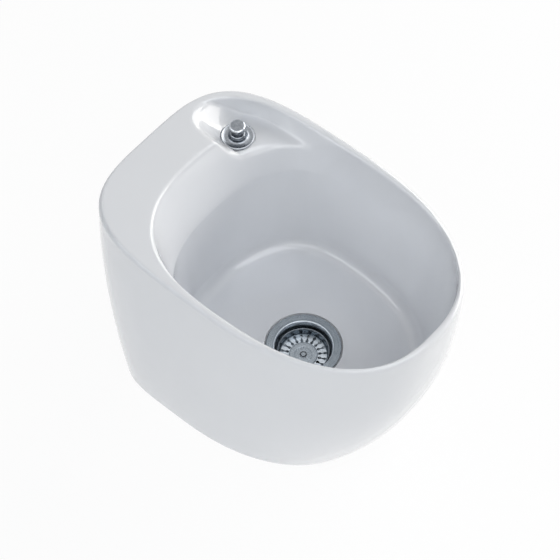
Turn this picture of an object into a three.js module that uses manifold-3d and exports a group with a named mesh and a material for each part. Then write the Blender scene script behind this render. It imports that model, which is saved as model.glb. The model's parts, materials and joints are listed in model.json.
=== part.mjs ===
// Mop service sink in glazed ceramic, with a basket strainer waste that a pull knob on the deck opens
// through a sheathed cable. Millimetres, +Z up, the wall side at +Y, standing on Z = 0.
import * as THREE from "three";
import { mergeVertices } from "three/addons/utils/BufferGeometryUtils.js";
import Module from "manifold-3d";

const wasm = await Module();
wasm.setup();

// ---------------------------------------------------------------- driving dimensions
// ceramic body, outside
const rimHeight = 355;
const rimHalfWidth = 173;
const rimBack = 260.4;
const rimFront = 260;
const sideBulge = 5.3;
const baseSideInset = 4;
const baseBackInset = 54;
const baseFrontInset = 89;
const baseCentreShift = 61;
const rimSquareness = [3.7, 2.33];
const baseSquareness = [5, 2.25];
const wall = 12;
// rim and deck
const rimWidth = 12;
const rimCrownInset = 6;
const rimRollDepth = 14;
const edgeRound = 5;
const deckThickness = 14;
// bowl, inside
const bowlFloorHeight = 95;
const bowlFloorRise = 7;
const bowlHalfWidth = 156;
const bowlBack = 141;
const bowlFloorFront = 205;
const bowlDeckEdge = 180;
const shoulderDepth = 72;
const shoulderCurve = 1.25;
const bowlSquareness = 2.4;
const bowlEdgeSquareness = 2.5;
const floorFillet = 22;
const floorThickness = 17;
// sunken shelf for the knob, at the right of the deck
const shelfDepth = 30;
const shelfCentre = [127, 130];
const shelfReach = [75, 107];
const shelfSlope = 28;
const shelfSquareness = 4.4;
const shelfWallTop = 12.6;
const shelfFootSide = 149;
const shelfFootBack = 238;
const shelfFootSquareness = 7;
const shelfWallLeast = 4;
// drain
const drainY = -30.5;
const drainHoleRadius = 45;
const seatRadius = 57.5;
const seatDepth = 3;
const flangeMargin = 2;
const flangeBore = 42;
const sheet = 1.2;
const cupDepth = 35.4;
const cupWaterway = 18.6;
const cupScrewCircle = 30;
const cupScrews = 3;
const cupScrewRadius = 1.9;
const cupScrewHead = 4;
const cupScrewLength = 10;
// strainer basket
const basketLipRadius = 38.4;
const basketLipDrop = 10.5;
const basketPlateDrop = 24;
const basketSheet = 1.1;
const slotCount = 20;
const slotInner = 21.6;
const slotOuter = 34.6;
const slotWidth = 3.6;
const capRadius = 20.6;
const capThickness = 0.8;
const capStudRadius = 3;
const plugRadius = 22.5;
const plugHub = 16.4;
const plugStem = 6;
const pinRadius = 2.5;
const plugSealThickness = 2.2;
// waste body under the sink
const gasketThickness = 2;
const flangeGasketThickness = 1.6;
const bodyFlangeMargin = 3;
const bodyFlangeThickness = 3.4;
const bodyWall = 3.5;
const chamberRadius = 34;
const chamberDepth = 10;
const chamberWall = 5;
const outletBore = 18;
const spigotRadius = 24.5;
const spigotEndShare = 0.353;
const tailRadius = 20;
const tailWall = 2;
const tailEnd = 3;
const tailInsertShare = 0.28;
const nutWall = 4.6;
const nutGripShare = 0.341;
// lift mechanism
const knobTravel = 12;
const leverLength = 24;
const crankShare = 0.675;
const leverTurn = 0.4;
const leverPad = 4;
const shaftRadius = 3;
const shaftDrop = 16;
const shaftInnerEnd = 3.9;
const crankX = 45;
const crankThickness = 4;
const crankEye = 6.8;
const nippleRadius = 3;
const wireRadius = 0.8;
const sheathRadius = 2.5;
const sheathBore = 1.3;
const bracketY = 14;
const bracketThickness = 4;
const adjusterRadius = 4;
const adjusterLength = 28;
// knob on the shelf
const knobX = 96.3;
const knobY = 174.6;
const knobHoleRadius = 14;
const escutcheonRadius = 24.3;
const escutcheonHeight = 4;
const knobHeight = 29;
const knobRadius = 12;
const collarRadius = 12;
const collarHeight = 6.5;
const shankRadius = 10;
const shankLength = 53;
const spindleRadius = 3.9;
const spindleLength = 67;
const knobNutAcross = 32;
const knobNutHeight = 8;
const knobWasherRadius = 19;
const knobWasherThickness = 3;
// clearances
const gap = 0.3;
const slide = 0.4;

// ---------------------------------------------------------------- materials
const finish = (color, roughness, metalness) => new THREE.MeshStandardMaterial({ color, roughness, metalness });
const ceramic = () => finish(0xe4e6ea, 0.12, 0);
const steel = () => finish(0x9aa0a8, 0.32, 1);
const chrome = () => finish(0xc9ccd2, 0.08, 1);
const rubber = () => finish(0x2a2a2c, 0.85, 0);
const plastic = () => finish(0xd9d9d4, 0.5, 0);
const blackPlastic = () => finish(0x232427, 0.45, 0);
const brass = () => finish(0xb89a55, 0.3, 1);

// ---------------------------------------------------------------- geometry helpers
const mix = (a, b, t) => a + (b - a) * t;
const clamp01 = (t) => Math.min(1, Math.max(0, t));

// only positions, shared vertices merged, faces turned to point out
function closed(geometry) {
  const bare = geometry.index ? geometry.toNonIndexed() : geometry;
  bare.deleteAttribute("normal");
  bare.deleteAttribute("uv");
  const merged = mergeVertices(bare, 1e-4);
  const index = Array.from(merged.index.array);
  const kept = [];
  for (let i = 0; i < index.length; i += 3) {
    const [a, b, c] = index.slice(i, i + 3);
    if (a !== b && b !== c && a !== c) kept.push(a, b, c);
  }
  const p = merged.attributes.position;
  const corner = (i) => new THREE.Vector3().fromBufferAttribute(p, i);
  let volume = 0;
  for (let i = 0; i < kept.length; i += 3) {
    volume += corner(kept[i]).dot(corner(kept[i + 1]).cross(corner(kept[i + 2])));
  }
  if (volume < 0) {
    for (let i = 0; i < kept.length; i += 3) [kept[i + 1], kept[i + 2]] = [kept[i + 2], kept[i + 1]];
  }
  merged.setIndex(kept);
  return merged;
}

function toSolid(geometry) {
  const ready = closed(geometry);
  const vertProperties = new Float32Array(ready.attributes.position.array);
  const triVerts = new Uint32Array(ready.index.array);
  return new wasm.Manifold(new wasm.Mesh({ numProp: 3, vertProperties, triVerts }));
}

function fromSolid(solid) {
  const m = solid.getMesh();
  const xyz = new Float32Array(m.numVert * 3);
  for (let i = 0; i < m.numVert; i++) {
    for (let k = 0; k < 3; k++) xyz[i * 3 + k] = m.vertProperties[i * m.numProp + k];
  }
  const geometry = new THREE.BufferGeometry();
  geometry.setAttribute("position", new THREE.BufferAttribute(xyz, 3));
  geometry.setIndex(new THREE.BufferAttribute(new Uint32Array(m.triVerts), 1));
  return geometry;
}

// base solid with solids joined to it and then cut from it
function carved(base, joins = [], cuts = []) {
  let solid = toSolid(base);
  for (const join of joins) solid = solid.add(toSolid(join));
  for (const cut of cuts) solid = solid.subtract(cut.isBufferGeometry ? toSolid(cut) : cut);
  return fromSolid(solid);
}

// profile of [radius, height] turned about Z; an open profile starts and ends on the axis
function turned(profile, sides = 28) {
  const closes = profile[0][0] > 1e-6;
  const points = profile.map(([r, z]) => new THREE.Vector2(r, z));
  if (closes) points.push(points[0].clone());
  return closed(new THREE.LatheGeometry(points, sides).rotateX(Math.PI / 2));
}

// flat outline, [x, y] points or a Shape, raised from z0 to z1
function raised(shape, z0, z1, curveSegments = 12) {
  const outline = shape instanceof THREE.Shape ? shape : new THREE.Shape(shape.map(([x, y]) => new THREE.Vector2(x, y)));
  const options = { depth: z1 - z0, bevelEnabled: false, curveSegments };
  return closed(new THREE.ExtrudeGeometry(outline, options).translate(0, 0, z0));
}

const rod = (radius, z0, z1, sides = 18) => turned([[0, z0], [radius, z0], [radius, z1], [0, z1]], sides);
const tube = (inner, outer, z0, z1, sides = 28) =>
  turned([[inner, z0], [outer, z0], [outer, z1], [inner, z1]], sides);
const alongX = (geometry) => geometry.rotateY(Math.PI / 2);
const alongY = (geometry) => geometry.rotateX(-Math.PI / 2);

// regular hexagon of a nut, with a round bore
function hexNut(across, bore, z0, z1) {
  const corner = across / Math.sqrt(3);
  const angles = [0, 1, 2, 3, 4, 5].map((k) => (k * Math.PI) / 3);
  const shape = new THREE.Shape(angles.map((a) => new THREE.Vector2(corner * Math.cos(a), corner * Math.sin(a))));
  shape.holes.push(new THREE.Path().absarc(0, 0, bore, 0, 2 * Math.PI, true));
  return raised(shape, z0, z1, 14);
}

// closed skin over rings of points; the first and last ring shrink to one point each
function skinned(rings, firstPole, lastPole) {
  const count = rings[0].length;
  const xyz = [...firstPole];
  rings.forEach((ring) => ring.forEach((point) => xyz.push(...point)));
  xyz.push(...lastPole);
  const last = xyz.length / 3 - 1;
  const at = (ring, k) => 1 + ring * count + (k % count);
  const index = [];
  for (let k = 0; k < count; k++) {
    index.push(0, at(0, k), at(0, k + 1));
    index.push(last, at(rings.length - 1, k + 1), at(rings.length - 1, k));
    for (let r = 0; r + 1 < rings.length; r++) {
      index.push(at(r, k), at(r + 1, k), at(r + 1, k + 1));
      index.push(at(r, k), at(r + 1, k + 1), at(r, k + 1));
    }
  }
  const geometry = new THREE.BufferGeometry();
  geometry.setAttribute("position", new THREE.BufferAttribute(new Float32Array(xyz), 3));
  geometry.setIndex(index);
  return closed(geometry);
}

// ---------------------------------------------------------------- ceramic body
// distance from the origin to a superellipse of the given half sizes, in direction angle
function reach(angle, halfWidth, back, front, backPower, frontPower) {
  const c = Math.abs(Math.cos(angle));
  const s = Math.abs(Math.sin(angle));
  const [depth, power] = Math.sin(angle) >= 0 ? [back, backPower] : [front, frontPower];
  return Math.pow(Math.pow(c / halfWidth, power) + Math.pow(s / depth, power), -1 / power);
}

// outer wall at height z, drawn in by inset, in direction angle from a centre that moves back on the way down
function outer(angle, z, inset = 0) {
  const drop = clamp01(1 - z / rimHeight);
  const centre = baseCentreShift * drop;
  const halfWidth = rimHalfWidth + 4 * sideBulge * drop * (1 - drop) - baseSideInset * drop * drop - inset;
  const back = rimBack - baseBackInset * Math.pow(drop, 1.46) - inset - centre;
  const front = rimFront - baseFrontInset * Math.pow(drop, 2.33) - inset + centre;
  const [backPower, frontPower] = rimSquareness.map((power, i) => mix(power, baseSquareness[i], drop));
  const r = reach(angle, halfWidth, back, front, backPower, frontPower);
  return [r * Math.cos(angle), centre + r * Math.sin(angle), z];
}

// wall of the bowl at height z; the shoulder widens it to the deck edge at the back
const bowlWallFoot = bowlFloorHeight + bowlFloorRise;
const shoulderFoot = rimHeight - edgeRound - shoulderDepth;
function bowlReach(angle, z, outset = 0, shoulder = 0) {
  const drop = (rimHeight - edgeRound - z) / (rimHeight - edgeRound - bowlWallFoot);
  const halfWidth = mix(rimHalfWidth - rimWidth, bowlHalfWidth, drop) + outset;
  const back = mix(bowlBack, bowlDeckEdge, shoulder) + outset;
  const front = mix(rimFront - rimWidth, bowlFloorFront, drop * drop) + outset;
  const power = mix(bowlEdgeSquareness, bowlSquareness, drop);
  return reach(angle, halfWidth, back, front, power, power);
}

const sinkAngles = 56;
const angles = Array.from({ length: sinkAngles }, (_, k) => (k * 2 * Math.PI) / sinkAngles);
const polar = (angle, r, z) => [r * Math.cos(angle), r * Math.sin(angle), z];
const aroundDrain = (angle, r, z) => [r * Math.cos(angle), drainY + r * Math.sin(angle), z];
const blend = (p, q, t) => p.map((v, i) => mix(v, q[i], t));

const seatZ = bowlFloorHeight - seatDepth;
const underZ = seatZ - floorThickness;
const shelfZ = rimHeight - shelfDepth;
const shelfUnderZ = shelfZ - deckThickness;

// the shoulder turns out of the upright wall and then leans on almost straight to the deck's edge
const shoulderSteps = [0.06, 0.25, 0.6, 1].map((part) => {
  const slope = (bowlDeckEdge - bowlBack) * shoulderCurve * Math.pow(part, shoulderCurve - 1);
  return {
    z: shoulderFoot + shoulderDepth * part,
    spread: Math.pow(part, shoulderCurve),
    turn: Math.atan2(slope, shoulderDepth),
  };
});

function ceramicOuter() {
  const rings = [];
  const ring = (make) => rings.push(angles.map(make));
  const floorEdge = (a) => polar(a, bowlReach(a, bowlWallFoot, -floorFillet), bowlWallFoot);
  ring((a) => aroundDrain(a, seatRadius, seatZ));
  ring((a) => aroundDrain(a, seatRadius, bowlFloorHeight));
  ring((a) => blend(aroundDrain(a, seatRadius, bowlFloorHeight), floorEdge(a), 0.5));
  ring(floorEdge);
  for (const turn of [0.33, 0.67, 1]) {
    const lean = (turn * Math.PI) / 2;
    const z = bowlWallFoot + floorFillet * (1 - Math.cos(lean));
    ring((a) => polar(a, bowlReach(a, z, floorFillet * (Math.sin(lean) - 1)), z));
  }
  for (const up of [0.5, 1]) {
    const z = mix(bowlWallFoot + floorFillet, shoulderFoot, up);
    ring((a) => polar(a, bowlReach(a, z), z));
  }
  for (const { z, spread } of shoulderSteps) ring((a) => polar(a, bowlReach(a, z, 0, spread), z));
  const edge = (a, outset) => bowlReach(a, rimHeight - edgeRound, outset, 1);
  ring((a) => polar(a, edge(a, 0.3 * edgeRound), rimHeight - 0.3 * edgeRound));
  ring((a) => polar(a, edge(a, 0.9 * edgeRound), rimHeight));
  ring((a) => outer(a, rimHeight, rimCrownInset));
  ring((a) => outer(a, rimHeight - 0.14 * rimRollDepth, 0.35 * rimCrownInset));
  ring((a) => outer(a, rimHeight - 0.45 * rimRollDepth, 0.08 * rimCrownInset));
  ring((a) => outer(a, rimHeight - rimRollDepth));
  for (const part of [0.8, 0.6, 0.4, 0.2, 0.03]) {
    ring((a) => outer(a, part * (rimHeight - rimRollDepth)));
  }
  ring((a) => outer(a, 0, wall / 4));
  return skinned(rings, [0, drainY, seatZ], [0, baseCentreShift, 0]);
}

// the sunken shelf as a solid to cut away, grown on every side and lowered for the ceramic under it
function shelfSolid(growth, floor) {
  const ring = (share, z) => angles.map((a) => {
    const [halfWidth, halfDepth] = shelfReach.map((r) => share * r + growth);
    const r = reach(a, halfWidth, halfDepth, halfDepth, shelfSquareness, shelfSquareness);
    return [shelfCentre[0] + r * Math.cos(a), shelfCentre[1] + r * Math.sin(a), z];
  });
  const foot = 1 - shelfSlope / shelfReach[0];
  const steps = [[0, 0], [0.15, 0.07], [0.4, 0.3], [0.7, 0.63], [1, 1], [1.1, 1.13]];
  const top = floor + shelfDepth;
  const rings = steps.map(([over, up]) => ring(mix(foot, 1, over), mix(floor, top, up)));
  const above = mix(floor, top, 1.13);
  return skinned(rings, [...shelfCentre, floor], [...shelfCentre, above]);
}

// the space inside the rim wall beside the shelf; the wall's foot is squarer than its top edge
function insideRim() {
  const steps = [[0, 1], [0.08, 0.86], [0.45, 0.47], [0.8, 0.15], [1, 0], [1.3, -0.05]];
  const rings = steps.map(([up, share]) => angles.map((a) => {
    const [x, y] = outer(a, rimHeight, shelfWallTop);
    const top = Math.hypot(x, y);
    const foot = reach(a, shelfFootSide, shelfFootBack, shelfFootBack, shelfFootSquareness, rimSquareness[1]);
    return polar(a, mix(top, Math.min(foot, top - shelfWallLeast), share), mix(shelfZ, rimHeight, up));
  }));
  return skinned(rings, [0, 0, shelfZ], [0, 0, mix(shelfZ, rimHeight, 1.3)]);
}

// the hollow under the deck and round the bowl, open at the foot
function ceramicHollow() {
  const under = 2;
  const roofZ = rimHeight - deckThickness;
  const shell = [];
  shell.push(angles.map((a) => outer(a, roofZ, 2 * wall)));
  for (const z of [roofZ - wall, 0.7 * rimHeight, 0.35 * rimHeight, 0]) shell.push(angles.map((a) => outer(a, z, wall)));
  shell.push(angles.map((a) => outer(a, -under, wall)));
  const inside = skinned(shell, [0, 0, roofZ], [0, baseCentreShift, -under]);
  const bowl = [];
  bowl.push(angles.map((a) => aroundDrain(a, seatRadius + wall, underZ)));
  for (const turn of [0, 0.34, 0.67, 1]) {
    const lean = (turn * Math.PI) / 2;
    const z = bowlWallFoot - floorThickness + (floorFillet + wall) * (1 - Math.cos(lean));
    bowl.push(angles.map((a) => polar(a, bowlReach(a, bowlWallFoot, wall + floorFillet * (Math.sin(lean) - 1)), z)));
  }
  for (const part of [0.5, 1]) {
    const z = mix(bowlWallFoot + floorFillet, shoulderFoot, part);
    bowl.push(angles.map((a) => polar(a, bowlReach(a, z, wall), z)));
  }
  for (const { turn, z, spread } of shoulderSteps) {
    const out = wall * Math.cos(turn);
    const down = wall * Math.sin(turn);
    bowl.push(angles.map((a) => polar(a, bowlReach(a, z, out, spread), z - down)));
  }
  bowl.push(angles.map((a) => polar(a, bowlReach(a, rimHeight - edgeRound, wall, 1), rimHeight + wall)));
  const grown = skinned(bowl, [0, drainY, underZ], [0, 0, rimHeight + wall]);
  const solid = toSolid(inside).subtract(toSolid(grown)).subtract(toSolid(shelfSolid(wall, shelfUnderZ)));
  // thin pockets shut off from the foot stay filled with ceramic
  return solid.decompose().filter((part) => part.boundingBox().min[2] < -under / 2);
}

function sinkBody() {
  const shelf = toSolid(shelfSolid(0, shelfZ)).intersect(toSolid(insideRim()));
  return carved(ceramicOuter(), [], [
    ...ceramicHollow(),
    shelf,
    rod(drainHoleRadius, underZ - 1, seatZ + 1, 36).translate(0, drainY, 0),
    rod(knobHoleRadius, shelfUnderZ - 1, shelfZ + 1, 20).translate(knobX, knobY, 0),
    rod(escutcheonRadius + 1, shelfZ, rimHeight, 32).translate(knobX, knobY, 0),
  ]);
}

// ---------------------------------------------------------------- drain cup and what holds it
const flangeGasketTop = seatZ + gap + flangeGasketThickness;
const flangeUnder = flangeGasketTop + gap;
const flangeTop = flangeUnder + sheet;
const flangeRadius = seatRadius - flangeMargin;
const cupFloor = flangeTop - cupDepth;
const cupUnder = cupFloor - sheet;
const cupGasketFoot = cupUnder - gap - gasketThickness;
const ledgeTop = cupGasketFoot - gap;
const ledgeInner = cupWaterway + 7;
const bodyFlangeRadius = seatRadius - bodyFlangeMargin;
const bodyTop = underZ - gap - gasketThickness - gap;
const screwAngles = Array.from({ length: cupScrews }, (_, k) => Math.PI / 2 + (k * 2 * Math.PI) / cupScrews);
const onScrewCircle = (geometry, a) =>
  geometry.translate(cupScrewCircle * Math.cos(a), cupScrewCircle * Math.sin(a), 0);

function drainCup() {
  const wallTop = flangeBore;
  const wallFoot = flangeBore - 1.8;
  const profile = [
    [flangeRadius, flangeUnder], [flangeRadius, flangeTop - 0.4], [flangeRadius - 0.6, flangeTop],
    [wallTop + 3, flangeTop - 0.5], [wallTop + 0.8, flangeTop - 1.2], [wallTop, flangeTop - 2.6],
    [wallFoot, cupFloor + 6], [wallFoot - 1.7, cupFloor + 1.5], [wallFoot - 5, cupFloor],
    [cupWaterway, cupFloor], [cupWaterway, cupUnder], [wallFoot - 4.5, cupUnder],
    [wallFoot - 0.8, cupFloor + 0.3], [wallFoot + sheet, cupFloor + 5.6],
    [wallTop + sheet, flangeTop - 3], [wallTop + sheet + 1, flangeUnder],
  ];
  const holes = screwAngles.map((a) => onScrewCircle(rod(cupScrewRadius + slide, cupUnder - 1, cupFloor + 1, 12), a));
  return carved(turned(profile, 36), [], holes);
}

function cupGasket() {
  const ring = tube(ledgeInner + gap, flangeBore - 6.2, cupGasketFoot, cupGasketFoot + gasketThickness);
  const holes = screwAngles.map((a) =>
    onScrewCircle(rod(cupScrewRadius + slide, cupGasketFoot - 1, cupUnder, 12), a));
  return carved(ring, [], holes);
}

function cupScrew() {
  const seat = cupFloor + gap;
  return turned([
    [0, seat - cupScrewLength], [cupScrewRadius, seat - cupScrewLength], [cupScrewRadius, seat],
    [cupScrewHead, seat], [cupScrewHead, seat + 1.4], [cupScrewHead - 1, seat + 2.2], [0, seat + 2.2],
  ], 12);
}

// ---------------------------------------------------------------- waste body
// the shaft hangs below the cup, and the outlet and crank take a share of the height left over the floor
const shaftHeight = cupFloor - shaftDrop;
const chamberFloor = shaftHeight - chamberDepth;
const spigotEnd = chamberFloor * spigotEndShare;
const crankLength = shaftHeight * crankShare;
const nutBore = spigotRadius + slide;
const tailTop = spigotEnd + chamberFloor * tailInsertShare;
const socketBore = tailRadius + 0.6;
const tailGasketFoot = spigotEnd - gap - gasketThickness;
const nutLipTop = tailGasketFoot - gap;
const restTurn = -leverTurn / 2;
const shaftY = -leverLength;
const wireZ = shaftHeight - (crankLength * (1 + Math.cos(restTurn))) / 2;
const chamberChord = Math.sqrt(chamberRadius * chamberRadius - shaftY * shaftY);
const glandBoss = shaftRadius + 5;
const bossEnd = chamberRadius + chamberWall - 2;
const sealPocket = 4;
const sealRadius = shaftRadius + 2.2;

function wasteBody() {
  const chamberOuter = chamberRadius + chamberWall;
  const bodyOuter = drainHoleRadius + bodyWall;
  const profile = [
    [bodyFlangeRadius, bodyTop], [drainHoleRadius, bodyTop], [drainHoleRadius, ledgeTop],
    [ledgeInner, ledgeTop], [ledgeInner, ledgeTop - bodyWall], [chamberRadius, ledgeTop - bodyWall - 1.5],
    [chamberRadius, chamberFloor], [outletBore, chamberFloor - 5], [outletBore, tailTop + 2],
    [socketBore, tailTop + 2], [socketBore, spigotEnd], [spigotRadius, spigotEnd],
    [spigotRadius, chamberFloor - 8.5], [chamberOuter, chamberFloor - 2.5], [chamberOuter, ledgeTop - bodyWall - 4.2],
    [bodyOuter, ledgeTop - 2], [bodyOuter, bodyTop - bodyFlangeThickness - 2.5],
    [bodyOuter + 2, bodyTop - bodyFlangeThickness], [bodyFlangeRadius, bodyTop - bodyFlangeThickness],
  ];
  const screwFoot = cupFloor + gap - cupScrewLength;
  const bosses = screwAngles.map((a) =>
    onScrewCircle(rod(cupScrewRadius + 3, screwFoot - 2, ledgeTop - 1, 14), a));
  const gland = alongX(rod(glandBoss, chamberChord + 2, bossEnd, 20)).translate(0, shaftY, shaftHeight);
  const arm = raised([
    [chamberRadius - 1, shaftHeight + 4], [crankX + 7, shaftHeight + 4], [crankX + 7, wireZ - 6],
    [crankX - 7, wireZ - 6], [crankX - 7, chamberFloor], [chamberRadius - 1, chamberFloor],
  ], -bracketThickness, 0).rotateX(Math.PI / 2).translate(0, bracketY, 0);
  const bridge = new THREE.BoxGeometry(2 * ledgeInner + 2, 5, 3).translate(0, 0, ledgeTop - 1.5);
  const pinGuide = rod(pinRadius + 3, ledgeTop - 3, ledgeTop);
  const cuts = screwAngles.map((a) =>
    onScrewCircle(rod(cupScrewRadius + gap, screwFoot - 1, ledgeTop + 1, 12), a));
  cuts.push(rod(pinRadius + slide, ledgeTop - 4, ledgeTop + 1));
  const shaftBore = rod(shaftRadius + gap, -chamberChord - 4.2, bossEnd + 1, 16);
  cuts.push(alongX(shaftBore).translate(0, shaftY, shaftHeight));
  cuts.push(alongX(rod(sealRadius + gap, bossEnd - sealPocket, bossEnd + 1, 20)).translate(0, shaftY, shaftHeight));
  cuts.push(alongX(rod(glandBoss + 1, bossEnd, bossEnd + 8, 20)).translate(0, shaftY, shaftHeight));
  const adjusterHole = rod(adjusterRadius + gap, bracketY - 1, bracketY + bracketThickness + 1, 18);
  cuts.push(alongY(adjusterHole).translate(crankX, 0, wireZ));
  return carved(turned(profile, 32), [...bosses, gland, arm, bridge, pinGuide], cuts);
}

function outletNut() {
  const sides = 12;
  const corner = nutBore + nutWall;
  const outline = new THREE.Shape(Array.from({ length: sides }, (_, k) => {
    const a = (k * 2 * Math.PI) / sides;
    return new THREE.Vector2(corner * Math.cos(a), corner * Math.sin(a));
  }));
  outline.holes.push(new THREE.Path().absarc(0, 0, nutBore, 0, 2 * Math.PI, true));
  const grip = raised(outline, nutLipTop, nutLipTop + chamberFloor * nutGripShare, 18);
  const lip = tube(tailRadius + slide, nutBore + nutWall / 2, nutLipTop - 2.9, nutLipTop + 0.01);
  return carved(grip, [lip]);
}

// ---------------------------------------------------------------- strainer basket
const lipTop = flangeTop - basketLipDrop;
const plateTop = flangeTop - basketPlateDrop;
const plateUnder = plateTop - basketSheet;
const plugSealFoot = cupFloor + gap;
const plugDiscFoot = plugSealFoot + plugSealThickness + gap;
const plugTop = plateUnder - gap;
const plugFoot = cupFloor - 3;
const padRest = shaftHeight + leverLength * Math.sin(restTurn) + leverPad;
const pinFoot = padRest + gap;
const capSeat = plateTop + gap;
const studFoot = plugTop - 4.5;

function strainerBasket() {
  const lip = basketLipRadius;
  const profile = [
    [capStudRadius + gap, plateTop], [lip - 3.2, plateTop], [lip - 2.2, plateTop + 1], [lip - 1.7, lipTop - 1.2],
    [lip - 1, lipTop], [lip - 0.2, lipTop - 0.2], [lip, lipTop - 1.2], [lip - 0.6, lipTop - 1.8],
    [lip - 1.1, plateTop + 0.7], [lip - 2.5, plateUnder], [capStudRadius + gap, plateUnder],
  ];
  const half = slotWidth / 2;
  const slots = Array.from({ length: slotCount }, (_, k) => {
    const shape = new THREE.Shape();
    shape.absarc(slotInner + half, 0, half, Math.PI / 2, 1.5 * Math.PI, false);
    shape.absarc(slotOuter - half, 0, half, -Math.PI / 2, Math.PI / 2, false);
    const cut = raised(shape, plateUnder - 1, plateTop + 1, 2);
    return cut.rotateZ(((k + 0.5) * 2 * Math.PI) / slotCount);
  });
  return carved(turned(profile, 40), [], slots);
}

const basketCap = () => turned([
  [0, studFoot + gap], [capStudRadius, studFoot + gap], [capStudRadius, capSeat], [capRadius, capSeat],
  [capRadius, capSeat + capThickness - 0.5], [capRadius - 0.8, capSeat + capThickness],
  [0, capSeat + capThickness],
], 32);

function strainerPlug() {
  const profile = [
    [0, plugFoot], [plugHub - 1, plugFoot], [plugHub, plugFoot + 1], [plugHub, plugDiscFoot],
    [plugRadius, plugDiscFoot], [plugRadius, plugDiscFoot + 1.8], [plugRadius - 1.1, plugDiscFoot + 2.7],
    [plugStem, plugDiscFoot + 2.7], [plugStem, plugTop - 2.7], [plugStem + 5, plugTop - 2.7],
    [plugStem + 5, plugTop], [0, plugTop],
  ];
  const studBore = rod(capStudRadius + gap, studFoot, plugTop + 1, 16);
  const pinBore = rod(pinRadius + slide, plugFoot - 1, plugFoot + 6);
  return carved(turned(profile, 24), [], [studBore, pinBore]);
}

const liftPin = () => turned([
  [0, pinFoot], [pinRadius - 0.6, pinFoot], [pinRadius, pinFoot + 0.8], [pinRadius, plugFoot + 5],
  [pinRadius - 0.6, plugFoot + 5.7], [0, plugFoot + 5.7],
], 14);

// ---------------------------------------------------------------- lift lever and crank
// drawn level, then turned to the rest angle by their group
function liftLever() {
  const hub = alongX(rod(shaftRadius + 3.4, -6, 6, 20));
  const arm = new THREE.BoxGeometry(6, leverLength, 4.4).translate(0, leverLength / 2, 0);
  const pad = alongX(rod(leverPad, -4, 4, 20)).translate(0, leverLength, 0);
  const bore = alongX(rod(shaftRadius + gap, -7, 7, 16));
  return carved(hub, [arm, pad], [bore]);
}

const crankFace = crankX - crankThickness / 2;
const crankBack = crankX + crankThickness / 2;
const shaftEnd = crankBack + 1;
const crankScrewRadius = 1.5;

function leverShaft() {
  const shaft = alongX(rod(shaftRadius, -chamberChord - shaftInnerEnd, shaftEnd, 16));
  return carved(shaft, [], [alongX(rod(crankScrewRadius + gap, shaftEnd - 10, shaftEnd + 1, 12))]);
}

function crankArm() {
  const plate = (geometry) => geometry.translate(0, 0, crankFace);
  const hub = alongX(plate(rod(7, 0, crankThickness, 24)));
  const eye = alongX(plate(rod(crankEye, 0, crankThickness))).translate(0, 0, -crankLength);
  const web = new THREE.BoxGeometry(crankThickness, 9, crankLength).translate(crankX, 0, -crankLength / 2);
  const bore = alongX(rod(shaftRadius + gap, crankFace - 1, crankBack + 1, 16));
  const eyeBore = alongX(rod(nippleRadius + 0.7, crankFace - 1, crankBack + 1, 18)).translate(0, 0, -crankLength);
  const slot = new THREE.BoxGeometry(crankThickness + 2, 2 * crankEye, 5.4).translate(crankX, crankEye, -crankLength);
  return carved(hub, [eye, web], [bore, eyeBore, slot]);
}

const crankScrew = () => alongX(turned([
  [0, shaftEnd - 9], [crankScrewRadius, shaftEnd - 9], [crankScrewRadius, shaftEnd + gap],
  [6, shaftEnd + gap], [6, shaftEnd + 1.8], [5, shaftEnd + 2.6], [0, shaftEnd + 2.6],
], 16));

// ---------------------------------------------------------------- sheathed cable
const adjusterStart = bracketY - 8;
const adjusterStop = adjusterStart + adjusterLength;
const sheathSeat = adjusterStop - 10;
const sheathEndY = drainY + sheathSeat + gap;
const nippleY = shaftY + crankLength * Math.sin(restTurn);
const wireStraight = 3;
const socketSeat = shelfZ - 52;
const knobWireFoot = socketSeat - 15;

// how far each bend of the cable is from the crank's end of it to the knob's: across, back and up
const cableBends = [
  [1, 1, 0.915], [1, 1, 0.776], [1, 1, 0.582], [1, 0.983, 0.416], [0.962, 0.932, 0.269], [0.868, 0.837, 0.145],
  [0.717, 0.696, 0.064], [0.528, 0.538, 0.02], [0.321, 0.391, 0.003], [0.132, 0.262, 0], [0.019, 0.177, 0],
  [0, 0.104, 0], [0, 0.047, 0],
];
const cableRoute = new THREE.CatmullRomCurve3([
  [knobX, knobY, socketSeat - gap],
  ...cableBends.map(([x, y, z]) =>
    [mix(crankX, knobX, x), mix(sheathEndY, knobY, y), mix(wireZ, socketSeat, z)]),
  [crankX, sheathEndY, wireZ],
].map(([x, y, z]) => new THREE.Vector3(x, y, z)), false, "centripetal");

function ringShape(outer, inner, sides) {
  const shape = new THREE.Shape(Array.from({ length: sides }, (_, k) => {
    const a = (k * 2 * Math.PI) / sides;
    return new THREE.Vector2(outer * Math.cos(a), outer * Math.sin(a));
  }));
  if (inner) {
    shape.holes.push(new THREE.Path(Array.from({ length: 5 }, (_, k) => {
      const a = (-k * 2 * Math.PI) / 5;
      return new THREE.Vector2(inner * Math.cos(a), inner * Math.sin(a));
    })));
  }
  return shape;
}

// the part of the cable's route between two shares of its length
class Stretch extends THREE.Curve {
  constructor(from, to) {
    super();
    this.from = from;
    this.to = to;
  }
  getPoint(t) {
    return cableRoute.getPointAt(mix(this.from, this.to, t));
  }
}

function swept(from, to, outer, inner, sides, steps) {
  const options = { steps, extrudePath: new Stretch(from, to), bevelEnabled: false };
  return closed(new THREE.ExtrudeGeometry(ringShape(outer, inner, sides), options));
}

const routeLength = cableRoute.getLength();
const cableSheath = () => swept(0, 1, sheathRadius, sheathBore, 8, 40);
const coreFrom = (socketSeat - knobWireFoot + gap) / routeLength;
const coreTo = 1 - (wireStraight + knobTravel + 1) / routeLength;
const cableCore = () => swept(coreFrom, coreTo, wireRadius, 0, 5, 36);

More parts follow.
